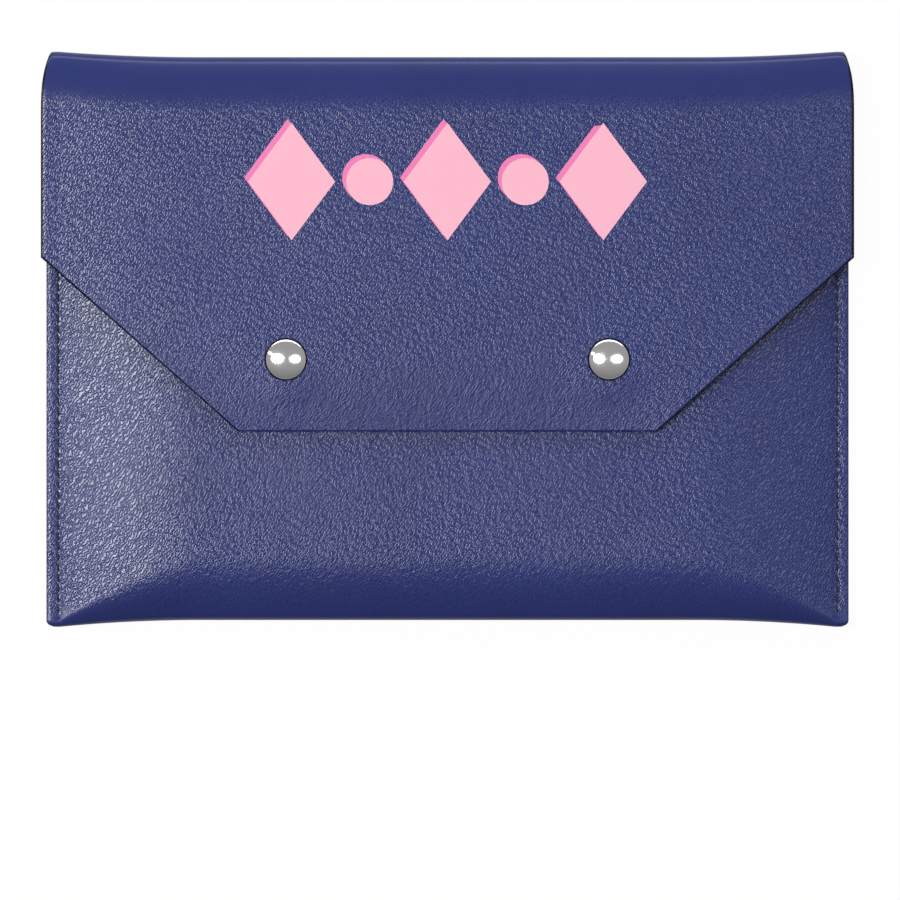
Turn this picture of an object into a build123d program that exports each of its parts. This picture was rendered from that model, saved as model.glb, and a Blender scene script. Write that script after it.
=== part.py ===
from build123d import *
from math import asin, atan2, copysign, cos, degrees, pi, sin
import os

# Envelope pouch lying on its back, with its flap closed by two press studs.
# X runs along the width, Y up towards the top fold, Z out of the front. Millimetres.

# Plan
body_width = 240.0
corner_height = 172.0
top_rise = 1.6
bottom_drop = 2.0
corner_radius = 2.0

# Sheet: imitation leather outside, suede-like lining inside, glue between
leather = 0.8
glue = 0.05
lining = 0.5
wall = leather + glue + lining

# Stuffed shape: flat in the middle, coming down to the side seams
flat_half_width = 74.0
seam_margin = 4.0
body_thickness = 10.0
seam_height = 2.5
seam_slit = 0.16
seam_start = body_width / 2 - seam_margin
side_steps = 4

# Bottom fold: each face comes round in a wide arc and a tight one
bottom_edge_height = 3.4
front_roll = 20.0
front_tight = 3.0
back_roll = 12.0
back_tight = 2.5
seam_roll = 2.2

# Mouth of the pocket and top fold
mouth_drop = 4.5
fold_roll = 17.0
fold_tight = 3.5
fold_seam_roll = 15.0
fold_seam_tight = 3.2
fold_lift = 1.0
seam_lift = 0.05
lift_length = 45.0
bend_inset = 2.4
bend_slit = 0.25

# Flap
flap_overhang = 1.35
fold_width = 237.2
fold_taper = 20.0
fold_taper_bend = 4.0
flap_side_drop = 60.0
flap_tip_drop = 111.9
flap_tip_width = 125.0
flap_corner_radius = 1.2
snap_space = 2.7
flap_droop = 0.9

# Side seams
stitch_inset = 3.5
stitch_pitch = 3.1
stitch_space = 0.7
stitch_slant = 6.0
thread_width = 0.6
thread_height = 0.25
seam_end_inset = 4.0

# Press studs
snap_spacing = 96.4
snap_drop = 90.4
rivet_radius = 1.6
rivet_wall = 0.4
rivet_flare = 0.25
rivet_flare_radius = 2.3
fit = 0.05
cap_radius = 6.0
cap_rise = 1.9
cap_edge = 0.5
cap_sheet = 0.4
cap_shoulder = 1.4
cap_dome_radius = 20.6
cap_shoulder_bend = 1.5
cap_hollow_radius = 17.0
socket_radius = 5.5
socket_sheet = 0.35
socket_housing_radius = 4.4
socket_depth = 2.3
socket_lip = 0.35
spring_wire_radius = 0.28
spring_wire_sides = 8
spring_play = 0.12
spring_opening = 50.0
snap_clearance = 0.27
stud_radius = 5.3
stud_flange = 0.4
stud_rim = 0.25
stud_head_radius = 2.75
stud_head_bend = 0.98
stud_neck_radius = 2.35
stud_rise = 1.95
stud_sheet = 0.35
stud_flare_radius = 1.9
stud_rivet_radius = 4.75
stud_rivet_sheet = 0.35

# Levels and lines worked out from the sizes above
seam_thickness = 2 * wall + seam_slit
seam_tight = wall + seam_slit / 4
top_y = corner_height / 2 - top_rise
mouth_y = top_y - mouth_drop
bend_slit_y = top_y - bend_inset
flap_side_y = top_y - flap_side_drop
flap_tip_y = top_y - flap_tip_drop
flap_half_width = body_width / 2 + flap_overhang
flap_inside_z = body_thickness + snap_space
flap_outside_z = flap_inside_z + wall
snap_y = top_y - snap_drop
trim = 3.0


def across(middle, seam, x):
    """A size at x: its middle value over the flat part, then a curve to its value at the side seam."""
    run = (abs(x) - flat_half_width) / (seam_start - flat_half_width)
    return middle + (seam - middle) * min(max(run, 0.0), 1.0) ** 2


def roll(flat_end, steep_end, tight):
    """A quarter turn from where it runs along Y to where it runs along Z: a wide arc, then a tight one."""
    run = flat_end[0] - steep_end[0]
    drop = flat_end[1] - steep_end[1]
    inward, up = copysign(1, run), copysign(1, drop)
    run, drop = abs(run), abs(drop)
    wide = (run ** 2 + drop ** 2 - 2 * run * tight) / (2 * (drop - tight))
    turn = atan2(run - tight, wide - drop)
    wide_middle, join = [
        (flat_end[0] - inward * wide * sin(angle), flat_end[1] - up * wide * (1 - cos(angle)))
        for angle in (turn / 2, turn)
    ]
    angle = (turn + pi / 2) / 2
    tight_middle = (steep_end[0] + inward * tight * (1 - sin(angle)), steep_end[1] + up * tight * cos(angle))
    ThreePointArc(flat_end, wide_middle, join)
    ThreePointArc(join, tight_middle, steep_end)


def layer_side(x, depth):
    """One side of a layer, that deep under the outer face: mouth, front, bottom, back, top fold, flap."""
    front_z = across(body_thickness, seam_height + seam_thickness, x) - depth
    back_z = across(0, seam_height, x) + depth
    flap_z = flap_outside_z - across(0, flap_droop, x) - depth
    lift = across(fold_lift, seam_lift, x)
    bottom_y = across(bottom_drop, 0, x) - corner_height / 2
    bottom_end = (bottom_y + depth, across(bottom_edge_height, seam_height + seam_thickness / 2, x))
    front_end = (bottom_y + across(front_roll, seam_roll, x), front_z)
    back_end = (bottom_y + across(back_roll, seam_roll, x), back_z)
    rise_end = (top_y - lift_length, back_z)
    fold_y = across(top_y, corner_height / 2, x)
    fold_radius = (flap_z - back_z - lift) / 2 + depth
    fold_end = (fold_y - depth, flap_z + depth - fold_radius)
    bend_end = (fold_y - fold_radius, back_z + lift)
    flap_end = (fold_y - across(fold_roll, fold_seam_roll, x), flap_z)
    Line((mouth_y, front_z), front_end)
    roll(front_end, bottom_end, across(front_tight, seam_tight, x) - depth)
    roll(back_end, bottom_end, across(back_tight, seam_tight, x) - depth)
    Line(back_end, rise_end)
    Line(rise_end, bend_end)
    bend_middle = (fold_y - depth - (fold_radius - depth) * (1 - sin(pi / 4)),
                   fold_end[1] - (fold_radius - depth) * cos(pi / 4))
    ThreePointArc(bend_end, bend_middle, fold_end)
    roll(flap_end, fold_end, across(fold_tight, fold_seam_tight, x) - depth)
    Line(flap_end, (flap_tip_y - trim, flap_z))
    return (mouth_y, front_z), (flap_tip_y - trim, flap_z)


def layer_section(x, outer, inner):
    """The cut face of a layer at x, between two depths under the outer face."""
    with BuildLine(Plane.YZ.offset(x)) as outline:
        outer_mouth, outer_tip = layer_side(x, outer)
        inner_mouth, inner_tip = layer_side(x, inner)
        Line(outer_mouth, inner_mouth)
        Line(outer_tip, inner_tip)
    return Face(Wire(outline.edges()))


def folded_layer(outer, inner):
    """One layer of the strip, folded and stuffed, cut across the top fold where it bends."""
    with BuildPart() as layer:
        add(layer_section(0, outer, inner))
        extrude(amount=flat_half_width, dir=(1, 0, 0), both=True, clean=False)
        for side in (-1, 1):
            for step in range(side_steps + 1):
                x = flat_half_width + (seam_start - flat_half_width) * step / side_steps
                add(layer_section(side * x, outer, inner))
            loft(ruled=True, clean=False)
            add(layer_section(side * seam_start, outer, inner))
            extrude(amount=flap_half_width + trim - seam_start, dir=(side, 0, 0), clean=False)
        with BuildSketch(Plane.XZ.offset(-bend_slit_y)):
            Rectangle(2 * body_width, 4 * flap_outside_z)
        extrude(amount=bend_slit / 2, both=True, clean=False, mode=Mode.SUBTRACT)
    pieces = layer.solids().sort_by(Axis.Y)
    fold = pieces[-1]
    pouch, flap = pieces[:-1].sort_by(Axis.Z)
    return pouch, fold, flap


def strip_side(half_width, low_y):
    """The strip's side edge in plan: straight, then drawn in towards the top fold."""
    fold_corner = (fold_width / 2, corner_height / 2)
    bend = (half_width, corner_height / 2 - fold_taper_bend)
    taper = (half_width, corner_height / 2 - fold_taper)
    Bezier(fold_corner, bend, taper)
    Line(taper, (half_width, low_y))
    Polyline(fold_corner, (fold_width / 2, corner_height / 2 + trim), (0, corner_height / 2 + trim))
    return half_width, low_y


def pouch_outline():
    """Plan of the pouch and of the fold: two sides and small round corners at the bottom."""
    low_y = -corner_height / 2 - corner_radius / 4
    with BuildSketch() as outline:
        with BuildLine():
            side_end = strip_side(body_width / 2, low_y)
            Line(side_end, (0, low_y))
            mirror(about=Plane.YZ)
        make_face()
        fillet(outline.vertices().group_by(Axis.Y)[0], corner_radius)
    return outline.sketch


def flap_outline():
    """Plan of the flap: two straight sides, two slanted ones and a wide straight tip."""
    with BuildSketch() as outline:
        with BuildLine():
            side_end = strip_side(flap_half_width, flap_side_y)
            Polyline(side_end, (flap_tip_width / 2, flap_tip_y), (0, flap_tip_y))
            mirror(about=Plane.YZ)
        make_face()
        fillet(outline.vertices().filter_by(lambda v: v.Y < flap_side_y + 1), flap_corner_radius)
    return outline.sketch


def cut_sheet(name, folded, outline, holes):
    """One piece of a layer, cut to its plan, with holes for the rivets where it has them."""
    with BuildPart() as sheet:
        add(folded, clean=False)
        add(outline)
        extrude(amount=2 * flap_outside_z, clean=False, mode=Mode.INTERSECT)
        if holes:
            floor_z = wall + snap_space
            with BuildSketch(Plane.XY.offset(floor_z)):
                with Locations((-snap_spacing / 2, snap_y), (snap_spacing / 2, snap_y)):
                    Circle(rivet_radius + fit)
            extrude(amount=2 * flap_outside_z, clean=False, mode=Mode.SUBTRACT)
    sheet.part.label = name
    export_step(sheet.part, f"parts/{name}.step")


def seam_thread(name, x, z, away):
    """The stitches that show on one face of a side seam, standing on the leather."""
    low_y = -corner_height / 2 + seam_end_inset
    count = int((mouth_y - low_y) / stitch_pitch)
    places = [(x, low_y + stitch_pitch * (number + 0.5)) for number in range(count)]
    with BuildPart() as thread:
        with BuildSketch(Plane.XY.offset(z)):
            with Locations(*places):
                Rectangle(thread_width, stitch_pitch - stitch_space, rotation=stitch_slant)
        extrude(amount=away * thread_height)
    thread.part.label = name
    export_step(thread.part, f"parts/{name}.step")


def snap_cap(name, x):
    """Domed cap on the flap's face, with the hollow rivet that goes through flap and socket."""
    face = Plane((x, snap_y, flap_outside_z), x_dir=(1, 0, 0), z_dir=(0, -1, 0))
    dome_z = cap_rise - cap_sheet
    inner_radius = cap_radius - cap_sheet
    dome_turn = degrees(asin((cap_radius - cap_shoulder) / cap_dome_radius))
    hollow_turn = degrees(asin(inner_radius / cap_hollow_radius))
    grip_z = -wall - socket_sheet
    rivet_inner = rivet_radius - rivet_wall
    with BuildPart() as cap:
        with BuildSketch(face):
            with BuildLine():
                dome = CenterArc((0, cap_rise - cap_dome_radius), cap_dome_radius, 90, -dome_turn)
                RadiusArc(dome @ 1, (cap_radius, cap_edge), cap_shoulder_bend)
                hollow = CenterArc((0, dome_z - cap_hollow_radius), cap_hollow_radius, 90, -hollow_turn)
                Polyline((cap_radius, cap_edge), (cap_radius, 0), (inner_radius, 0), hollow @ 1)
                Line((0, dome_z), (0, cap_rise))
            make_face()
        revolve(axis=Axis((x, snap_y, 0), (0, 0, 1)))
        with BuildSketch(face):
            with BuildLine():
                Polyline((rivet_inner, dome_z + cap_sheet / 2), (rivet_radius, dome_z + cap_sheet / 2),
                         (rivet_radius, grip_z), (rivet_flare_radius, grip_z),
                         (rivet_flare_radius, grip_z - rivet_flare), (rivet_inner, grip_z - rivet_flare), close=True)
            make_face()
        revolve(axis=Axis((x, snap_y, 0), (0, 0, 1)))
    cap.part.label = name
    export_step(cap.part, f"parts/{name}.step")


def snap_socket(name, x):
    """Socket under the flap: a flange against the lining and a housing that traps the ring spring."""
    face = Plane((x, snap_y, flap_inside_z), x_dir=(1, 0, 0), z_dir=(0, -1, 0))
    groove_radius = stud_head_radius + snap_clearance + 2 * spring_wire_radius + spring_play
    groove_low = -socket_depth + socket_lip
    groove_high = groove_low + 2 * spring_wire_radius + spring_play
    bore = stud_head_radius + snap_clearance + spring_wire_radius / 2
    with BuildPart() as socket:
        with BuildSketch(face):
            with BuildLine():
                Polyline((rivet_radius + fit, 0), (socket_radius, 0), (socket_radius, -socket_sheet),
                         (socket_housing_radius, -socket_sheet - socket_lip),
                         (socket_housing_radius, -socket_depth), (bore, -socket_depth), (bore, groove_low),
                         (groove_radius, groove_low), (groove_radius, groove_high), (bore, groove_high),
                         (bore, -socket_sheet), (rivet_radius + fit, -socket_sheet), close=True)
            make_face()
        revolve(axis=Axis((x, snap_y, 0), (0, 0, 1)))
    socket.part.label = name
    export_step(socket.part, f"parts/{name}.step")


def snap_spring(name, x):
    """Open ring of spring wire in the socket's groove."""
    ring_radius = stud_head_radius + snap_clearance + spring_wire_radius
    ring_z = flap_inside_z - socket_depth + socket_lip + spring_wire_radius
    with BuildPart() as spring:
        with BuildSketch(Plane((x, snap_y, ring_z), x_dir=(1, 0, 0), z_dir=(0, -1, 0))):
            with Locations((ring_radius, 0)):
                RegularPolygon(spring_wire_radius, spring_wire_sides)
        revolve(axis=Axis((x, snap_y, 0), (0, 0, 1)), revolution_arc=360 - spring_opening)
    spring.part.label = name
    export_step(spring.part, f"parts/{name}.step")


def snap_stud(name, x):
    """Stud on the front panel: a rimmed flange and a hollow head with a narrow neck."""
    face = Plane((x, snap_y, body_thickness), x_dir=(1, 0, 0), z_dir=(0, -1, 0))
    swell_z = stud_rise - stud_sheet
    neck_inner = stud_neck_radius - stud_sheet
    with BuildPart() as stud:
        with BuildSketch(face):
            with BuildLine():
                Polyline((rivet_radius + fit, 0), (stud_radius, 0), (stud_radius, stud_flange + stud_rim),
                         (stud_radius - stud_sheet, stud_flange + stud_rim),
                         (stud_radius - 2 * stud_sheet, stud_flange), (stud_neck_radius, stud_flange),
                         (stud_neck_radius, stud_flange + stud_rim), (stud_head_radius, swell_z))
                RadiusArc((stud_head_radius, swell_z), (neck_inner, stud_rise), -stud_head_bend)
                Polyline((neck_inner, stud_rise), (neck_inner, stud_flange), (rivet_radius + fit, stud_flange),
                         (rivet_radius + fit, 0))
            make_face()
        revolve(axis=Axis((x, snap_y, 0), (0, 0, 1)))
    stud.part.label = name
    export_step(stud.part, f"parts/{name}.step")


def snap_rivet(name, x):
    """Rivet behind the front panel that holds the stud: a thin disc, a tube and its flared end."""
    inside_z = body_thickness - wall
    face = Plane((x, snap_y, inside_z), x_dir=(1, 0, 0), z_dir=(0, -1, 0))
    rivet_inner = rivet_radius - rivet_wall
    grip_z = wall + stud_flange
    with BuildPart() as rivet:
        with BuildSketch(face):
            with BuildLine():
                Polyline((rivet_inner, -stud_rivet_sheet), (stud_rivet_radius, -stud_rivet_sheet),
                         (stud_rivet_radius, 0), (rivet_radius, 0), (rivet_radius, grip_z),
                         (stud_flare_radius, grip_z), (stud_flare_radius, grip_z + rivet_flare),
                         (rivet_inner, grip_z + rivet_flare), close=True)
            make_face()
        revolve(axis=Axis((x, snap_y, 0), (0, 0, 1)))
    rivet.part.label = name
    export_step(rivet.part, f"parts/{name}.step")


os.makedirs("parts", exist_ok=True)

# The strip's two layers, each as pouch, fold and flap
pouch_plan = pouch_outline()
flap_plan = flap_outline()
for layer_name, outer_depth, inner_depth in (("shell", 0, leather), ("lining", leather + glue, wall)):
    pouch_piece, fold_piece, flap_piece = folded_layer(outer_depth, inner_depth)
    cut_sheet(f"pouch_{layer_name}", pouch_piece, pouch_plan, True)
    cut_sheet(f"fold_{layer_name}", fold_piece, pouch_plan, False)
    cut_sheet(f"flap_{layer_name}", flap_piece, flap_plan, True)

# The two side seams and the two press studs
stitch_x = body_width / 2 - stitch_inset
for side_name, side in (("left", -1), ("right", 1)):
    seam_thread(f"{side_name}_seam_front_thread", side * stitch_x, seam_height + seam_thickness, 1)
    seam_thread(f"{side_name}_seam_back_thread", side * stitch_x, seam_height, -1)
    snap_x = side * snap_spacing / 2
    snap_cap(f"{side_name}_snap_cap", snap_x)
    snap_socket(f"{side_name}_snap_socket", snap_x)
    snap_spring(f"{side_name}_snap_spring", snap_x)
    snap_stud(f"{side_name}_snap_stud", snap_x)
    snap_rivet(f"{side_name}_snap_rivet", snap_x)
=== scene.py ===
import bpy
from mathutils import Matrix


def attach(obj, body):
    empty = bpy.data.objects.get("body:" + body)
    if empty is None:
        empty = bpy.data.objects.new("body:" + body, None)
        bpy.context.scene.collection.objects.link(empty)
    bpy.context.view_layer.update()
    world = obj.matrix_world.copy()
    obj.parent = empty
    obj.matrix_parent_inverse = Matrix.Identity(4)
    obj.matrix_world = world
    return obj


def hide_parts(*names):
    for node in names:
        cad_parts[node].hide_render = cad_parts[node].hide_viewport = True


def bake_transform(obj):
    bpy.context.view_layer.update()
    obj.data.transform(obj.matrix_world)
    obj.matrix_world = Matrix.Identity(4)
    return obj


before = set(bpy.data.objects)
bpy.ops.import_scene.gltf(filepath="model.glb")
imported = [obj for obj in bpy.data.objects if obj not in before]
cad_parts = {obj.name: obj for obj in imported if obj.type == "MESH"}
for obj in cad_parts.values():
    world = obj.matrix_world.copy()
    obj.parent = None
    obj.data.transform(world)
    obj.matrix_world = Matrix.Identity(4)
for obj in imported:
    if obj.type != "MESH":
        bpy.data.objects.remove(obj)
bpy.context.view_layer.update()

import math

import bmesh
import bpy
import numpy as np
from mathutils import Matrix, Vector, noise

# Camera, straight above the pouch as it lies on its back, with a long lens.
# The view is as wide as the photograph's frame at the height of the flap.
mm = 0.001
scene = bpy.context.scene
scene.view_settings.view_transform = "Standard"
view_width = 0.26865
view_centre = (0.00075, -0.03306)
view_level = 0.012
lens = bpy.data.cameras.new("camera")
lens.lens = 400
lens.sensor_width = 36
camera = bpy.data.objects.new("camera", lens)
camera.location = (*view_centre, view_level + view_width * lens.lens / lens.sensor_width)
scene.collection.objects.link(camera)
scene.camera = camera

# Table top: a plain pale surface just under the pouch. It looks white to the camera and in the metal,
# and keeps a trace of the pouch's shadow, while it throws only a little light back up.
floor_reach = 20.0
below_back_stitches = 0.00002
floor_mesh = bpy.data.meshes.new("table_top")
floor_mesh.from_pydata(
    [(-floor_reach, -floor_reach, 0), (floor_reach, -floor_reach, 0),
     (floor_reach, floor_reach, 0), (-floor_reach, floor_reach, 0)], [], [(0, 1, 2, 3)])
floor_mesh.transform(Matrix.Translation((0, 0, -below_back_stitches)))
floor = bpy.data.objects.new("table_top", floor_mesh)
scene.collection.objects.link(floor)
floor_paint = bpy.data.materials.new("table top")
floor_paint.use_nodes = True
tree = floor_paint.node_tree
tree.nodes.clear()
path = tree.nodes.new("ShaderNodeLightPath")
seen_directly = tree.nodes.new("ShaderNodeMath")
seen_directly.operation = "MAXIMUM"
seen = tree.nodes.new("ShaderNodeMath")
seen.operation = "MAXIMUM"
dull = tree.nodes.new("ShaderNodeBsdfDiffuse")
dull.inputs["Color"].default_value = (0.14, 0.14, 0.14, 1)
pale = tree.nodes.new("ShaderNodeBsdfDiffuse")
pale.inputs["Color"].default_value = (0.95, 0.95, 0.95, 1)
glow = tree.nodes.new("ShaderNodeEmission")
glow.inputs["Strength"].default_value = 1.0
white = tree.nodes.new("ShaderNodeMixShader")
white.inputs["Fac"].default_value = 0.96
surface = tree.nodes.new("ShaderNodeMixShader")
out = tree.nodes.new("ShaderNodeOutputMaterial")
tree.links.new(path.outputs["Is Camera Ray"], seen_directly.inputs[0])
tree.links.new(path.outputs["Is Glossy Ray"], seen_directly.inputs[1])
tree.links.new(seen_directly.outputs[0], seen.inputs[0])
tree.links.new(path.outputs["Is Transmission Ray"], seen.inputs[1])
tree.links.new(pale.outputs[0], white.inputs[1])
tree.links.new(glow.outputs[0], white.inputs[2])
tree.links.new(seen.outputs[0], surface.inputs["Fac"])
tree.links.new(dull.outputs[0], surface.inputs[1])
tree.links.new(white.outputs[0], surface.inputs[2])
tree.links.new(surface.outputs[0], out.inputs["Surface"])
floor_mesh.materials.append(floor_paint)

# Studio, three metres off: a bright window left of the camera, a weaker one right of it, a narrow
# light low on the left and a wide one low behind the top fold. The room is grey, darkest towards
# the front and pale along its horizon, and shows stronger in glossy surfaces than it lights matt ones.
def soft_light(name, across, along, width, height, brightness):
    """An oval light that many degrees to the right and up the picture from straight above."""
    studio_distance = 3.0
    light = bpy.data.lights.new(name, "AREA")
    light.shape = "ELLIPSE"
    light.size = 2 * studio_distance * math.tan(math.radians(width) / 2)
    light.size_y = 2 * studio_distance * math.tan(math.radians(height) / 2)
    light.energy = brightness * math.pi * (math.pi / 4 * light.size * light.size_y)
    lamp = bpy.data.objects.new(name, light)
    lamp.location = Vector((math.tan(math.radians(across)), math.tan(math.radians(along)), 1))
    lamp.location = lamp.location.normalized() * studio_distance
    lamp.rotation_euler = (-lamp.location).to_track_quat("-Z", "Y").to_euler()
    lamp.visible_camera = False
    scene.collection.objects.link(lamp)


soft_light("left_window", -20.5, 2, 14, 26, 20.5)
soft_light("right_window", 18, 1, 16, 27, 2.4)
soft_light("left_bank", -47, 22, 4, 34, 6.0)
soft_light("top_bank", 0, 64, 90, 18, 4.0)
room = bpy.data.worlds.new("room")
scene.world = room
room.use_nodes = True
tree = room.node_tree
where = tree.nodes.new("ShaderNodeTexCoord")
split = tree.nodes.new("ShaderNodeSeparateXYZ")
front_to_top = tree.nodes.new("ShaderNodeMapRange")
front_to_top.interpolation_type = "SMOOTHSTEP"
front_to_top.inputs["From Min"].default_value = -0.8
front_to_top.inputs["From Max"].default_value = -0.05
path = tree.nodes.new("ShaderNodeLightPath")
for label, on_matt, on_gloss in (("To Min", 0.01, 0.3), ("To Max", 0.22, 0.47)):
    level = tree.nodes.new("ShaderNodeMapRange")
    level.inputs["To Min"].default_value = on_matt
    level.inputs["To Max"].default_value = on_gloss
    tree.links.new(path.outputs["Is Glossy Ray"], level.inputs["Value"])
    tree.links.new(level.outputs[0], front_to_top.inputs[label])
horizon = tree.nodes.new("ShaderNodeMapRange")
horizon.inputs["From Min"].default_value = 0.03
horizon.inputs["From Max"].default_value = 0.1
horizon.inputs["To Min"].default_value = 0.93
horizon.inputs["To Max"].default_value = 0.0
paler = tree.nodes.new("ShaderNodeMath")
paler.operation = "MAXIMUM"
tree.links.new(where.outputs["Generated"], split.inputs[0])
tree.links.new(split.outputs["Y"], front_to_top.inputs["Value"])
tree.links.new(split.outputs["Z"], horizon.inputs["Value"])
tree.links.new(front_to_top.outputs[0], paler.inputs[0])
tree.links.new(horizon.outputs[0], paler.inputs[1])
tree.links.new(paler.outputs[0], tree.nodes["Background"].inputs["Color"])

# Outer sheet: one strip of navy imitation leather, embossed with a fine slanting grain, folded at the
# bottom and the top and stuffed out between its sewn sides. It is made as three pieces that meet
# without a step, because it bends twice at the top fold.
body_width = 240.0
corner_height = 172.0
body_thickness = 10.0
top_y = corner_height / 2 - 1.6
mouth_y = top_y - 4.5
seam_start = body_width / 2 - 4
flat_half_width = 74.0
leather = 0.8
glue = 0.02
wall = 1.35
seam_lift = 2.5
seam_slit = 0.16
seam_face = seam_lift + 2 * wall + seam_slit
seam_tight = 1.39
snap_space = 2.7
flap_half_width = 121.35
flap_side_y = top_y - 60.0
flap_tip_y = top_y - 111.9
flap_tip_half_width = 62.5
flap_level_y = 60.0
snap_x = 48.2
snap_y = top_y - 90.4
stitch_x = body_width / 2 - 3.5


def across(middle, seam, x, power=2.0):
    """A size that is one value over the flat middle and runs out to another one at the side seams."""
    run = np.clip((np.abs(x) - flat_half_width) / (seam_start - flat_half_width), 0, 1)
    return middle + (seam - middle) * run ** power


def droop(x, y):
    """How far the flap's tip hangs down: most in the middle, and nothing round the press studs."""
    from_snap = np.hypot(np.abs(x) - snap_x, y - snap_y)
    to_tip = np.clip((-4 - y) / 23.5, 0, 1) ** 1.4
    return 1.3 * to_tip * np.exp(-(x / 70) ** 4) * (1 - np.exp(-(from_snap / 11) ** 4))


def swell(x, y):
    """How far the stuffed leather stands off its even shape; nothing at the press studs and sides."""
    height = np.array([noise.noise(Vector((a / 34, b / 27, 0.7))) for a, b in zip(x.flat, y.flat)])
    height = height.reshape(x.shape) * 0.14
    from_snap = np.hypot(np.abs(x) - snap_x, y - snap_y)
    calm = 1 - np.exp(-(from_snap / 14) ** 2)
    sides = np.clip((114 - np.abs(x)) / 12, 0, 1)
    return height * calm * sides


def quarter(y1, z1, y2, z2, turn):
    """A point on a quarter of an arc."""
    return y1 + (y2 - y1) * np.sin(turn * math.pi / 2), z2 + (z1 - z2) * np.cos(turn * math.pi / 2)


def roll(flat_y, flat_z, steep_y, steep_z, tight, t):
    """A wide arc from where the sheet lies flat, then a tight one to where it stands upright."""
    run, drop = np.abs(flat_y - steep_y), np.abs(flat_z - steep_z)
    wide = (run ** 2 + drop ** 2 - 2 * run * tight) / (2 * (drop - tight))
    join = np.arctan2(run - tight, wide - drop)
    wide_share = wide * join / (wide * join + tight * (math.pi / 2 - join))
    angle = np.where(t < wide_share, join * t / wide_share,
                     join + (math.pi / 2 - join) * (t - wide_share) / (1 - wide_share))
    on_wide = t < wide_share
    y_run = np.where(on_wide, wide * np.sin(angle), run - tight * (1 - np.sin(angle)))
    z_drop = np.where(on_wide, wide * (1 - np.cos(angle)), drop - tight * np.cos(angle))
    return flat_y + np.sign(steep_y - flat_y) * y_run, flat_z + np.sign(steep_z - flat_z) * z_drop


def strip_point(part, t, x, depth):
    """Where the strip is at x, that far along one of its parts, at a depth under its outer face."""
    front_z = across(body_thickness, seam_face, x) - depth
    back_z = across(0.0, seam_lift, x) + depth
    flap_z = body_thickness + snap_space + wall - across(0.0, 0.6, x) - depth
    lift = across(1.0, 0.0, x)
    bottom_y = across(2.0, 0.0, x) - corner_height / 2
    edge_z = across(3.4, seam_lift + wall + seam_slit / 2, x)
    front_y = bottom_y + across(20.0, 2.2, x, 1.2)
    back_y = bottom_y + across(12.0, 2.2, x)
    fold_y = across(top_y, corner_height / 2, x)
    radius = (flap_z - back_z - lift) / 2 + depth
    bend_y = fold_y - radius
    rise_y = top_y - 45.0
    flap_y = fold_y - across(17.0, 15.0, x)
    if part == "front":
        y = mouth_y + (front_y - mouth_y) * t
        ease = np.clip((y - front_y) / 14, 0, 1)
        return y, front_z + swell(x, y) * ease
    if part == "front_roll":
        tight = across(3.0, seam_tight, x) - depth
        return roll(front_y, front_z, bottom_y + depth, edge_z, tight, t)
    if part == "back_roll":
        tight = across(2.5, seam_tight, x) - depth
        return roll(back_y, back_z, bottom_y + depth, edge_z, tight, 1 - t)
    if part == "back":
        return back_y + (rise_y - back_y) * t, back_z
    if part == "rise":
        middle_y = (rise_y + bend_y) / 2
        a, b, c, d = (1 - t) ** 3, 3 * t * (1 - t) ** 2, 3 * t * t * (1 - t), t ** 3
        return a * rise_y + (b + c) * middle_y + d * bend_y, back_z + lift * (c + d)
    if part == "back_fold":
        return quarter(bend_y, back_z + lift, fold_y - depth, flap_z + depth - radius, t)
    if part == "front_fold":
        tight = across(3.5, 3.2, x) - depth
        return roll(flap_y, flap_z, fold_y - depth, flap_z + depth - radius, tight, 1 - t)
    if part == "flap_start":
        y = flap_y + (flap_level_y - flap_y) * t
        return y, flap_z + swell(x, y) * np.clip((flap_y - y) / 10, 0, 1)
    y = np.full_like(x, t)
    return y, flap_z + swell(x, y) - droop(x, y)


def fold_side(half_width, y):
    """The strip's half width: straight, then drawn in towards the top fold."""
    t = np.clip((y - 66) / 20, 0, 1)
    return half_width + (118.6 - half_width) * t ** 3.2


def pouch_half_width(y):
    """The half width of pouch and fold, with the two small rounded corners at the bottom."""
    corner = np.clip(-84 - y, 0, 2)
    return fold_side(body_width / 2, y) - (2 - np.sqrt(np.maximum(4 - corner ** 2, 0)))


def flap_plan(y):
    """The flap's half width: its sides, then the two slanted edges down to the wide tip."""
    if y >= flap_side_y:
        return fold_side(flap_half_width, y)
    run = (flap_side_y - y) / (flap_side_y - flap_tip_y)
    return flap_half_width + (flap_tip_half_width - flap_half_width) * run


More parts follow.
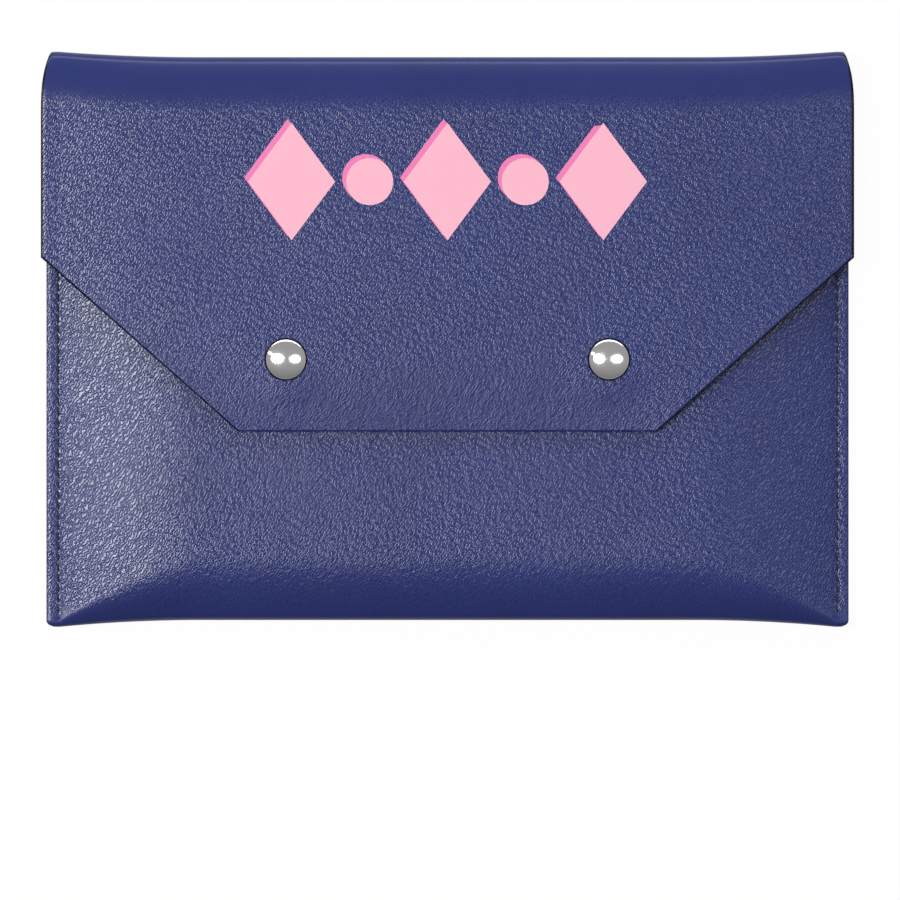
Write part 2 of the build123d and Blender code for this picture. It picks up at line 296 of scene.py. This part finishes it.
def strip_piece(name, rows, half_width, layer, materials, cut_row=None, edge=0.1, pressed=0.0):
    """A closed piece of one layer: its outer face, inner face and cut edges with broken corners.

    The row cut_row is a cut end of the strip; at other ends the next piece carries on. A layer that
    is pressed has a shallow groove along its stitches.
    """
    outer, inner = layer
    spread = np.concatenate([np.linspace(0, 74, 31), np.linspace(75.5, 114.2, 27),
                             [115.2, 115.8, 116.15, 116.5, 116.85, 117.2, 117.8, 118.8, 119.6]]) / 120
    spread = np.concatenate([-spread[:0:-1], spread])
    rounds = []
    for number, (part, t) in enumerate(rows):
        depths = (outer + edge, inner - edge) if number == cut_row else (outer, inner)
        near_side = np.array([119.0])
        side = np.array([half_width(float(strip_point(part, t, near_side, outer)[0][0]))])
        loop = []
        for depth, direction in ((depths[0], 1), (depths[1], -1)):
            reach = side - edge
            x = spread[::direction] * reach
            y, z = strip_point(part, t, x, depth)
            if direction == 1 and pressed and part in ("front", "back"):
                dent = pressed * np.exp(-((np.abs(x) - stitch_x) / 0.8) ** 2)
                z = z + (dent if part == "back" else -dent)
            loop += [np.stack([x, y, z], 1)]
            corner_x = np.array([side[0], side[0]]) * direction
            first, last = (outer + edge, inner - edge)[::direction]
            corner = [strip_point(part, t, corner_x[:1], np.array([level])) for level in (first, last)]
            loop += [np.array([[corner_x[0], float(y[0]), float(z[0])] for y, z in corner])]
        rounds.append(np.concatenate(loop))
    points = np.array(rounds)
    count = points.shape[1]
    columns = len(spread)
    faces, kinds = [], []
    for row in range(len(rows) - 1):
        for i in range(count):
            j = (i + 1) % count
            faces.append((row * count + i, row * count + j, (row + 1) * count + j, (row + 1) * count + i))
            on_face = (i < columns - 1) or (columns + 2 <= i < 2 * columns + 1)
            kinds.append(0 if on_face else 1)
    for row, flip in ((0, 1), (len(rows) - 1, 0)):
        start = row * count
        front = [start + i for i in range(columns)]
        back = [start + 2 * columns + 1 - i for i in range(columns)]
        strips = [(front[i], front[i + 1], back[i + 1], back[i]) for i in range(columns - 1)]
        strips.append((front[-1], start + columns, start + columns + 1, back[-1]))
        strips.append((front[0], back[0], start + 2 * columns + 2, start + 2 * columns + 3))
        faces += [face[::-1] if flip else face for face in strips]
        kinds += [1] * len(strips)
    mesh = bpy.data.meshes.new(name)
    outward = [face[::-1] for face in faces]
    mesh.from_pydata((points.reshape(-1, 3) * mm).tolist(), [], outward)
    for material in materials:
        mesh.materials.append(material)
    mesh.polygons.foreach_set("material_index", kinds)
    mesh.polygons.foreach_set("use_smooth", [True] * len(faces))
    mesh.set_sharp_from_angle(angle=math.radians(50))
    mesh.validate()
    mesh.update()
    piece = bpy.data.objects.new(name, mesh)
    scene.collection.objects.link(piece)
    return piece


def steps(part, count, low=0.0, high=1.0, first=False):
    """Even rows along one part of the strip, with its first one only where nothing comes before."""
    run = np.linspace(low, high, count + 1)
    return [(part, float(t)) for t in (run if first else run[1:])]


flap_levels = [60 - 2.4 * i for i in range(1, 15)] + [24.9, 24.6, 24.4, 24.2, 23.9]
flap_levels += [23.9 - 2.3 * i for i in range(1, 22)] + [-25.6, -26.6, -27.0, -27.14, -27.5]
cut_share = 0.0012
pouch_rows = (steps("front", 1, 0, cut_share, True) + steps("front", 64, cut_share, 1)
              + steps("front_roll", 28) + steps("back_roll", 22) + steps("back", 44))
fold_rows = steps("rise", 26, first=True) + steps("back_fold", 44)
flap_rows = steps("front_fold", 44, first=True) + steps("flap_start", 8)
flap_rows += [("flap", y) for y in flap_levels]


def leather_material(name, colour, grain_depth, cap_ring_shade=0.0):
    """Semi-matt navy leather: wavy slanting grain, pulled flat where it is stretched round a fold.

    Its last argument paints a near-black shade ring without gloss round each cap's rim, standing in for
    the cap's contact shadow on the leather.
    """
    material = bpy.data.materials.new(name)
    material.use_nodes = True
    tree = material.node_tree
    new, link = tree.nodes.new, tree.links.new
    skin = tree.nodes["Principled BSDF"]
    where = new("ShaderNodeTexCoord")
    lay = new("ShaderNodeMapping")
    lay.vector_type = "TEXTURE"
    lay.inputs["Rotation"].default_value = (0, 0, math.radians(-36))
    ridges = new("ShaderNodeTexWave")
    ridges.inputs["Scale"].default_value = 395
    ridges.inputs["Distortion"].default_value = 8.0
    ridges.inputs["Detail"].default_value = 1.0
    ridges.inputs["Detail Scale"].default_value = 2.0
    link(where.outputs["Object"], lay.inputs[0])
    link(lay.outputs[0], ridges.inputs["Vector"])
    split = new("ShaderNodeSeparateXYZ")
    link(where.outputs["Object"], split.inputs[0])
    from_middle = new("ShaderNodeMath")
    from_middle.operation = "ABSOLUTE"
    raised = new("ShaderNodeMath")
    raised.inputs[1].default_value = 0.004
    link(split.outputs["Y"], raised.inputs[0])
    link(raised.outputs[0], from_middle.inputs[0])
    stretched = new("ShaderNodeMapRange")
    stretched.interpolation_type = "SMOOTHSTEP"
    stretched.inputs["From Min"].default_value = 0.073
    stretched.inputs["From Max"].default_value = 0.081
    stretched.inputs["To Min"].default_value = 1.0
    stretched.inputs["To Max"].default_value = 0.12
    link(from_middle.outputs[0], stretched.inputs["Value"])
    depth = new("ShaderNodeMath")
    depth.operation = "MULTIPLY"
    depth.inputs[1].default_value = grain_depth
    link(stretched.outputs[0], depth.inputs[0])
    bump = new("ShaderNodeBump")
    bump.inputs["Strength"].default_value = 1.0
    link(depth.outputs[0], bump.inputs["Distance"])
    link(ridges.outputs["Fac"], bump.inputs["Height"])
    link(bump.outputs[0], skin.inputs["Normal"])
    skin.inputs["Roughness"].default_value = 0.235
    gloss = new("ShaderNodeMapRange")
    gloss.inputs["To Min"].default_value = 0.05
    gloss.inputs["To Max"].default_value = 0.55
    link(ridges.outputs["Fac"], gloss.inputs["Value"])
    even = new("ShaderNodeMix")
    even.data_type = "FLOAT"
    even.inputs["A"].default_value = 0.3
    link(stretched.outputs[0], even.inputs["Factor"])
    link(gloss.outputs[0], even.inputs["B"])
    clouds = new("ShaderNodeTexNoise")
    clouds.inputs["Scale"].default_value = 38
    clouds.inputs["Detail"].default_value = 3
    link(where.outputs["Object"], clouds.inputs["Vector"])
    shade = new("ShaderNodeValToRGB")
    shade.color_ramp.elements[0].position = 0.3
    shade.color_ramp.elements[0].color = (*[c * 0.94 for c in colour], 1)
    shade.color_ramp.elements[1].position = 0.7
    shade.color_ramp.elements[1].color = (*[c * 1.06 for c in colour], 1)
    link(clouds.outputs["Fac"], shade.inputs[0])
    from_cap = new("ShaderNodeVectorMath")
    from_cap.operation = "DISTANCE"
    from_cap.inputs[1].default_value = (snap_x * mm, snap_y * mm, 0)
    one_side = new("ShaderNodeMath")
    one_side.operation = "ABSOLUTE"
    place = new("ShaderNodeCombineXYZ")
    link(split.outputs["X"], one_side.inputs[0])
    link(one_side.outputs[0], place.inputs[0])
    link(split.outputs["Y"], place.inputs[1])
    link(place.outputs[0], from_cap.inputs[0])
    # Painted shade: near-black colour and no gloss in a thin ring just outside each cap, in place of the
    # cap's contact shadow.
    cap_ring_shade_mask = new("ShaderNodeMapRange")
    cap_ring_shade_mask.interpolation_type = "SMOOTHSTEP"
    cap_ring_shade_mask.inputs["From Min"].default_value = 0.0061
    cap_ring_shade_mask.inputs["From Max"].default_value = 0.0067
    cap_ring_shade_mask.inputs["To Min"].default_value = cap_ring_shade
    cap_ring_shade_mask.inputs["To Max"].default_value = 0.0
    link(from_cap.outputs["Value"], cap_ring_shade_mask.inputs["Value"])
    darker = new("ShaderNodeMix")
    darker.data_type = "RGBA"
    darker.inputs["B"].default_value = (0.001, 0.001, 0.004, 1)
    link(cap_ring_shade_mask.outputs[0], darker.inputs["Factor"])
    link(shade.outputs[0], darker.inputs["A"])
    link(darker.outputs["Result"], skin.inputs["Base Color"])
    duller = new("ShaderNodeMix")
    duller.data_type = "FLOAT"
    duller.inputs["B"].default_value = 0.0
    link(cap_ring_shade_mask.outputs[0], duller.inputs["Factor"])
    link(even.outputs["Result"], duller.inputs["A"])
    link(duller.outputs["Result"], skin.inputs["Specular IOR Level"])
    return material


navy_colour = (0.0205, 0.030, 0.146)
grain_depth = 0.00003
navy = leather_material("navy leather", navy_colour, grain_depth)
# The flap's leather carries the painted shade rings round the caps.
flap_navy = leather_material("navy flap leather", navy_colour, grain_depth, cap_ring_shade=1.0)
# The flap's near-black cut edges are partly dark edge paint and partly painted shade, standing in for the
# shadow line under the flap's tip and slanted edges.
edge_paint_and_shade = leather_material("navy edge paint and painted shade", (0.003, 0.004, 0.014), 0.00001)
outer_layer = (0.0, leather)
mouth_row = 0
tip_row = len(flap_rows) - 1
pouch = strip_piece("pouch_leather", pouch_rows, pouch_half_width, outer_layer, (navy, navy),
                    mouth_row, edge=0.25, pressed=0.08)
fold = strip_piece("fold_leather", fold_rows, pouch_half_width, outer_layer, (navy, navy), edge=0.25)
flap = strip_piece("flap_leather", flap_rows, flap_plan, outer_layer, (flap_navy, edge_paint_and_shade),
                   tip_row, edge=0.36)
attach(pouch, "pouch")
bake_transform(fold)
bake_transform(flap)
for piece, node in ((pouch, "pouch_shell"), (fold, "fold_shell"), (flap, "flap_shell")):
    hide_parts(node)

# Lining: royal blue cloth, brushed like suede, bonded to the whole inside of the strip.
# It shows at the mouth and on the flap's inside when the pouch is open.
def suede_material():
    material = bpy.data.materials.new("blue suede")
    material.use_nodes = True
    tree = material.node_tree
    new, link = tree.nodes.new, tree.links.new
    cloth = tree.nodes["Principled BSDF"]
    where = new("ShaderNodeTexCoord")
    nap = new("ShaderNodeTexNoise")
    nap.inputs["Scale"].default_value = 2600
    nap.inputs["Detail"].default_value = 3
    brushed = new("ShaderNodeTexNoise")
    brushed.inputs["Scale"].default_value = 45
    brushed.inputs["Detail"].default_value = 4
    mixed = new("ShaderNodeMath")
    mixed.operation = "MULTIPLY_ADD"
    mixed.inputs[1].default_value = 0.5
    shade = new("ShaderNodeValToRGB")
    shade.color_ramp.elements[0].position = 0.45
    shade.color_ramp.elements[0].color = (0.012, 0.065, 0.32, 1)
    shade.color_ramp.elements[1].position = 1.05
    shade.color_ramp.elements[1].color = (0.032, 0.15, 0.56, 1)
    bump = new("ShaderNodeBump")
    bump.inputs["Distance"].default_value = 0.00012
    link(where.outputs["Object"], nap.inputs["Vector"])
    link(where.outputs["Object"], brushed.inputs["Vector"])
    link(nap.outputs["Fac"], mixed.inputs[0])
    link(brushed.outputs["Fac"], mixed.inputs[2])
    link(mixed.outputs[0], shade.inputs[0])
    link(shade.outputs[0], cloth.inputs["Base Color"])
    link(nap.outputs["Fac"], bump.inputs["Height"])
    link(bump.outputs[0], cloth.inputs["Normal"])
    cloth.inputs["Roughness"].default_value = 0.95
    cloth.inputs["Specular IOR Level"].default_value = 0.2
    cloth.inputs["Sheen Weight"].default_value = 0.35
    cloth.inputs["Sheen Roughness"].default_value = 0.4
    cloth.inputs["Sheen Tint"].default_value = (0.35, 0.55, 1.0, 1)
    return material


suede = suede_material()
inner_layer = (leather + glue, wall)
pouch_lining = strip_piece("pouch_suede", pouch_rows, pouch_half_width, inner_layer, (suede, suede),
                           mouth_row)
fold_lining = strip_piece("fold_suede", fold_rows, pouch_half_width, inner_layer, (suede, suede))
flap_lining = strip_piece("flap_suede", flap_rows, flap_plan, inner_layer, (suede, suede), tip_row)
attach(pouch_lining, "pouch")
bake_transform(fold_lining)
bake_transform(flap_lining)
linings = ((pouch_lining, "pouch_lining"), (fold_lining, "fold_lining"), (flap_lining, "flap_lining"))
for piece, node in linings:
    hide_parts(node)

# Side seams: a lockstitch of dark navy thread along each side, drawn a little into the leather.
# Each stitch is a plump arch of thread, slightly slanted, whose ends dip into the needle holes.
stitch_pitch = 3.1
stitch_count = 52
seam_low_y = -82.0


def stitch_tree(material):
    """Nodes for one row of stitches, straight up the pouch from a given point."""
    tree = bpy.data.node_groups.new("seam stitches", "GeometryNodeTree")
    tree.interface.new_socket("Geometry", in_out="OUTPUT", socket_type="NodeSocketGeometry")
    sizes = (("Seam X", 0.1165), ("Seam Z", 0.005), ("Start Y", -0.08), ("Pitch", 0.0031),
             ("Stitch Length", 0.0026), ("Thread Radius", 0.00036), ("Rise", 0.0004), ("Dip", 0.0003),
             ("Slant", 0.1))
    for label, value in sizes:
        socket = tree.interface.new_socket(label, in_out="INPUT", socket_type="NodeSocketFloat")
        socket.default_value = value
    socket = tree.interface.new_socket("Stitches", in_out="INPUT", socket_type="NodeSocketInt")
    socket.default_value = 52
    new, link = tree.nodes.new, tree.links.new
    given = new("NodeGroupInput")
    start = new("ShaderNodeCombineXYZ")
    link(given.outputs["Seam X"], start.inputs[0])
    link(given.outputs["Start Y"], start.inputs[1])
    link(given.outputs["Seam Z"], start.inputs[2])
    step = new("ShaderNodeCombineXYZ")
    link(given.outputs["Pitch"], step.inputs[1])
    row = new("GeometryNodeMeshLine")
    link(given.outputs["Stitches"], row.inputs["Count"])
    link(start.outputs[0], row.inputs["Start Location"])
    link(step.outputs[0], row.inputs["Offset"])
    half = new("ShaderNodeMath")
    half.operation = "MULTIPLY"
    half.inputs[1].default_value = 0.5
    link(given.outputs["Stitch Length"], half.inputs[0])
    back = new("ShaderNodeMath")
    back.operation = "MULTIPLY"
    back.inputs[1].default_value = -1
    link(half.outputs[0], back.inputs[0])
    low = new("ShaderNodeMath")
    low.operation = "MULTIPLY"
    low.inputs[1].default_value = -1
    link(given.outputs["Dip"], low.inputs[0])
    arch = new("GeometryNodeCurveQuadraticBezier")
    arch.inputs["Resolution"].default_value = 10
    for length, height, label in ((back.outputs[0], low.outputs[0], "Start"),
                                  (None, given.outputs["Rise"], "Middle"),
                                  (half.outputs[0], low.outputs[0], "End")):
        place = new("ShaderNodeCombineXYZ")
        if length:
            link(length, place.inputs[1])
        link(height, place.inputs[2])
        link(place.outputs[0], arch.inputs[label])
    along = new("GeometryNodeSplineParameter")
    plump = new("ShaderNodeMapRange")
    plump.inputs["To Min"].default_value = 0.0
    plump.inputs["To Max"].default_value = math.pi
    sine = new("ShaderNodeMath")
    sine.operation = "SINE"
    fuller = new("ShaderNodeMath")
    fuller.operation = "POWER"
    fuller.inputs[1].default_value = 0.45
    thick = new("ShaderNodeMapRange")
    thick.inputs["To Min"].default_value = 0.55
    thick.inputs["To Max"].default_value = 1.0
    link(along.outputs["Factor"], plump.inputs["Value"])
    link(plump.outputs[0], sine.inputs[0])
    link(sine.outputs[0], fuller.inputs[0])
    link(fuller.outputs[0], thick.inputs["Value"])
    radius = new("GeometryNodeSetCurveRadius")
    link(arch.outputs["Curve"], radius.inputs["Curve"])
    link(thick.outputs[0], radius.inputs["Radius"])
    ring = new("GeometryNodeCurvePrimitiveCircle")
    ring.inputs["Resolution"].default_value = 8
    link(given.outputs["Thread Radius"], ring.inputs["Radius"])
    tube = new("GeometryNodeCurveToMesh")
    tube.inputs["Fill Caps"].default_value = True
    link(radius.outputs[0], tube.inputs["Curve"])
    link(ring.outputs["Curve"], tube.inputs["Profile Curve"])
    smooth = new("GeometryNodeSetShadeSmooth")
    link(tube.outputs[0], smooth.inputs["Geometry"])
    turn = new("ShaderNodeCombineXYZ")
    link(given.outputs["Slant"], turn.inputs[2])
    sew = new("GeometryNodeInstanceOnPoints")
    link(row.outputs[0], sew.inputs["Points"])
    link(smooth.outputs[0], sew.inputs["Instance"])
    link(turn.outputs[0], sew.inputs["Rotation"])
    real = new("GeometryNodeRealizeInstances")
    link(sew.outputs[0], real.inputs[0])
    paint = new("GeometryNodeSetMaterial")
    paint.inputs["Material"].default_value = material
    link(real.outputs[0], paint.inputs["Geometry"])
    result = new("NodeGroupOutput")
    link(paint.outputs[0], result.inputs[0])
    return tree


def made_by(tree, name, values):
    """Runs a node tree with these named values and gives the result as a plain mesh."""
    holder = bpy.data.objects.new(name + "_holder", bpy.data.meshes.new(name + "_holder"))
    scene.collection.objects.link(holder)
    modifier = holder.modifiers.new("made", "NODES")
    modifier.node_group = tree
    for item in tree.interface.items_tree:
        if item.in_out == "INPUT" and item.name in values:
            modifier[item.identifier] = values[item.name]
    evaluated = holder.evaluated_get(bpy.context.evaluated_depsgraph_get())
    mesh = bpy.data.meshes.new_from_object(evaluated)
    holder.modifiers.clear()
    bpy.data.objects.remove(holder)
    mesh.name = name
    piece = bpy.data.objects.new(name, mesh)
    scene.collection.objects.link(piece)
    return piece


thread = bpy.data.materials.new("navy thread")
thread.use_nodes = True
tree = thread.node_tree
fibre = tree.nodes["Principled BSDF"]
where = tree.nodes.new("ShaderNodeTexCoord")
plies = tree.nodes.new("ShaderNodeTexWave")
plies.bands_direction = "DIAGONAL"
plies.inputs["Scale"].default_value = 900
plies.inputs["Distortion"].default_value = 1.0
bump = tree.nodes.new("ShaderNodeBump")
bump.inputs["Distance"].default_value = 0.00008
shade = tree.nodes.new("ShaderNodeValToRGB")
shade.color_ramp.elements[0].color = (0.003, 0.004, 0.014, 1)
shade.color_ramp.elements[1].color = (0.010, 0.012, 0.04, 1)
tree.links.new(where.outputs["Object"], plies.inputs["Vector"])
tree.links.new(plies.outputs["Fac"], bump.inputs["Height"])
tree.links.new(plies.outputs["Fac"], shade.inputs[0])
tree.links.new(shade.outputs[0], fibre.inputs["Base Color"])
tree.links.new(bump.outputs[0], fibre.inputs["Normal"])
fibre.inputs["Roughness"].default_value = 0.6
stitches = stitch_tree(thread)
for side_name, side in (("left", -1), ("right", 1)):
    for face_name, level, away in (("front", seam_face * mm, 1), ("back", seam_lift * mm, -1)):
        seam = made_by(stitches, f"{side_name}_{face_name}_stitches", {
            "Seam X": side * stitch_x * mm, "Seam Z": level,
            "Start Y": (seam_low_y + stitch_pitch / 2) * mm, "Pitch": stitch_pitch * mm,
            "Stitches": stitch_count, "Rise": away * 0.00045, "Dip": away * 0.0004,
            "Slant": math.radians(9) * away})
        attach(seam, "pouch")
        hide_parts(f"{side_name}_seam_{face_name}_thread")

# Press studs: two sets of turned and pressed steel, bright nickel plated. The domed cap with its
# hollow rivet, the socket and its ring spring sit on the flap; stud and rivet on the front panel.
def turned(name, x, level, profile, body, node, material, arc=360):
    """A ring of metal turned from a closed profile of (radius, height) points in millimetres."""
    around = 72
    closed = arc == 360
    turns = around if closed else around + 1
    angles = [math.radians(arc) * i / around for i in range(turns)]
    points = [((x + r * math.cos(a)) * mm, (snap_y + r * math.sin(a)) * mm, (level + z) * mm)
              for a in angles for r, z in profile]
    count = len(profile)
    faces = []
    for i in range(around):
        a, b = i * count, ((i + 1) % turns) * count
        for k in range(count):
            n = (k + 1) % count
            corners = []
            for vertex in (a + k, b + k, b + n, a + n):
                if profile[vertex % count][0] == 0:
                    vertex = vertex % count
                if vertex not in corners:
                    corners.append(vertex)
            if len(corners) > 2:
                faces.append(tuple(corners))
    if not closed:
        faces += [tuple(range(count))[::-1], tuple(around * count + k for k in range(count))]
    mesh = bpy.data.meshes.new(name)
    mesh.from_pydata(points, [], faces)
    shape = bmesh.new()
    shape.from_mesh(mesh)
    loose = [v for v in shape.verts if not v.link_faces]
    bmesh.ops.delete(shape, geom=loose, context="VERTS")
    bmesh.ops.recalc_face_normals(shape, faces=shape.faces)
    shape.to_mesh(mesh)
    shape.free()
    mesh.polygons.foreach_set("use_smooth", [True] * len(mesh.polygons))
    mesh.set_sharp_from_angle(angle=math.radians(40))
    mesh.materials.append(material)
    piece = bpy.data.objects.new(name, mesh)
    scene.collection.objects.link(piece)
    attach(piece, body)
    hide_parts(node)
    return piece


def bend_line(points, count):
    """Points along a Bezier curve through its control points."""
    curve = []
    for t in np.linspace(0, 1, count):
        line = [np.array(p, float) for p in points]
        while len(line) > 1:
            line = [a + (b - a) * t for a, b in zip(line, line[1:])]
        curve.append((float(line[0][0]), float(line[0][1])))
    return curve


nickel = bpy.data.materials.new("bright nickel")
nickel.use_nodes = True
tree = nickel.node_tree
metal = tree.nodes["Principled BSDF"]
metal.inputs["Metallic"].default_value = 1.0
metal.inputs["Base Color"].default_value = (0.66, 0.645, 0.65, 1)
where = tree.nodes.new("ShaderNodeTexCoord")
haze = tree.nodes.new("ShaderNodeTexNoise")
haze.inputs["Scale"].default_value = 900
haze.inputs["Detail"].default_value = 4
polish = tree.nodes.new("ShaderNodeMapRange")
polish.inputs["To Min"].default_value = 0.09
polish.inputs["To Max"].default_value = 0.14
tree.links.new(where.outputs["Object"], haze.inputs["Vector"])
tree.links.new(haze.outputs["Fac"], polish.inputs["Value"])
tree.links.new(polish.outputs[0], metal.inputs["Roughness"])
flap_outside_z = body_thickness + snap_space + wall
flap_inside_z = body_thickness + snap_space
cap_profile = (bend_line([(0, 1.9), (3.3, 1.9), (5.75, 1.05), (5.98, 0.5)], 22)
               + bend_line([(5.98, 0.5), (6.02, 0.28), (5.95, 0.12), (5.7, 0.02)], 6)[1:]
               + [(5.35, 0.02), (5.3, 0.3)]
               + bend_line([(5.3, 0.45), (5.0, 0.9), (3.0, 1.5), (1.6, 1.5)], 8)
               + [(1.6, -1.7), (2.1, -1.72), (2.3, -1.85), (2.2, -1.97), (1.35, -1.95), (1.2, -1.8),
                  (1.2, 1.5), (0, 1.5)])
socket_profile = [(1.65, 0), (5.2, 0), (5.45, -0.1), (5.5, -0.25), (5.35, -0.35), (4.75, -0.42),
                  (4.45, -0.7), (4.4, -1.2), (4.38, -1.9), (4.2, -2.2), (3.9, -2.3), (3.3, -2.3),
                  (3.16, -2.18), (3.16, -1.95), (3.7, -1.95), (3.7, -1.27), (3.16, -1.27), (3.1, -0.5),
                  (2.9, -0.35), (1.65, -0.35)]
stud_profile = ([(1.65, 0), (5.15, 0), (5.3, 0.12), (5.3, 0.5), (5.2, 0.65), (5.02, 0.62), (4.85, 0.45),
                 (4.5, 0.4), (2.6, 0.4), (2.38, 0.5), (2.35, 0.7)]
                + bend_line([(2.35, 0.7), (2.35, 1.25), (2.75, 1.25), (2.75, 1.6)], 8)[1:]
                + bend_line([(2.75, 1.6), (2.75, 1.95), (2.0, 1.95)], 7)[1:]
                + [(2.0, 0.5), (1.9, 0.4), (1.65, 0.4)])
rivet_profile = [(1.2, -0.35), (4.45, -0.35), (4.7, -0.27), (4.75, -0.1), (4.7, 0), (1.6, 0), (1.6, 1.75),
                 (1.85, 1.77), (1.9, 1.88), (1.8, 2.0), (1.3, 1.98), (1.2, 1.85)]
wire = 0.28
ring_radius = 2.75 + 0.27 + wire
spring_profile = [(ring_radius + wire * math.cos(a), wire * math.sin(a))
                  for a in (2 * math.pi * i / 12 for i in range(12))]
spring_level = flap_inside_z - 2.3 + 0.35 + wire
for side_name, side in (("left", -1), ("right", 1)):
    for part, level, profile, body, arc in (
            ("cap", flap_outside_z, cap_profile, "flap", 360),
            ("socket", flap_inside_z, socket_profile, "flap", 360),
            ("spring", spring_level, spring_profile, "flap", 310),
            ("stud", body_thickness, stud_profile, "pouch", 360),
            ("rivet", body_thickness - wall, rivet_profile, "pouch", 360)):
        turned(f"{side_name}_press_{part}", side * snap_x, level, profile, body,
               f"{side_name}_snap_{part}", nickel, arc)

# Print: a plain row of diamonds and discs in two pinks, a thin film pressed onto the flap.
# The pale film lies on a deeper one that shows along its upper left edges.
print_y = 47
film_side = 0.045


def print_film(name, offset, level, colour):
    """One film of the print: its five shapes, laid on the swelling flap, with low upright sides."""
    points, faces = [], []
    rings, around = 10, 96
    for kind, x, half_width, half_height in (
            ("diamond", -46.5, 13, 17.5), ("disc", -23.2, 7, 7), ("diamond", 0, 13, 17.5),
            ("disc", 23.2, 7, 7), ("diamond", 46.5, 13, 17.5)):
        start = len(points)
        outline = []
        for i in range(around):
            a = 2 * math.pi * i / around
            reach = half_width
            if kind == "diamond":
                reach = 1 / (abs(math.cos(a)) / half_width + abs(math.sin(a)) / half_height)
            outline.append((reach * math.cos(a), reach * math.sin(a)))
        middle = (x + offset[0], print_y + offset[1])
        plan = [middle] + [(middle[0] + px * ring / rings, middle[1] + py * ring / rings)
                           for ring in range(1, rings + 1) for px, py in outline]
        plan += plan[-around:]
        plan = np.array(plan)
        heights = swell(plan[:, 0], plan[:, 1]) + flap_outside_z + level
        heights[-around:] -= film_side
        points += [(px * mm, py * mm, pz * mm) for (px, py), pz in zip(plan.tolist(), heights)]
        for i in range(around):
            j = (i + 1) % around
            faces.append((start, start + 1 + i, start + 1 + j))
            for ring in range(rings):
                a, b = start + 1 + ring * around, start + 1 + (ring + 1) * around
                faces.append((a + i, b + i, b + j, a + j))
        faces.append(tuple(start + 1 + rings * around + i for i in range(around))[::-1])
    mesh = bpy.data.meshes.new(name)
    mesh.from_pydata(points, [], faces)
    mesh.polygons.foreach_set("use_smooth", [True] * len(faces))
    mesh.set_sharp_from_angle(angle=math.radians(40))
    film = bpy.data.materials.new(name)
    film.use_nodes = True
    tree = film.node_tree
    ink = tree.nodes["Principled BSDF"]
    ink.inputs["Roughness"].default_value = 0.55
    where = tree.nodes.new("ShaderNodeTexCoord")
    patch = tree.nodes.new("ShaderNodeTexNoise")
    patch.inputs["Scale"].default_value = 300
    shade = tree.nodes.new("ShaderNodeValToRGB")
    shade.color_ramp.elements[0].color = (*[c * 0.98 for c in colour], 1)
    shade.color_ramp.elements[1].color = (*colour, 1)
    tree.links.new(where.outputs["Object"], patch.inputs["Vector"])
    tree.links.new(patch.outputs["Fac"], shade.inputs[0])
    tree.links.new(shade.outputs[0], ink.inputs["Base Color"])
    mesh.materials.append(film)
    piece = bpy.data.objects.new(name, mesh)
    scene.collection.objects.link(piece)
    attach(piece, "flap")
    return piece


print_film("print_deep", (-1.2, 1.2), 0.03, (0.85, 0.19, 0.45))
print_film("print_pale", (0, 0), 0.06, (0.95, 0.46, 0.58))
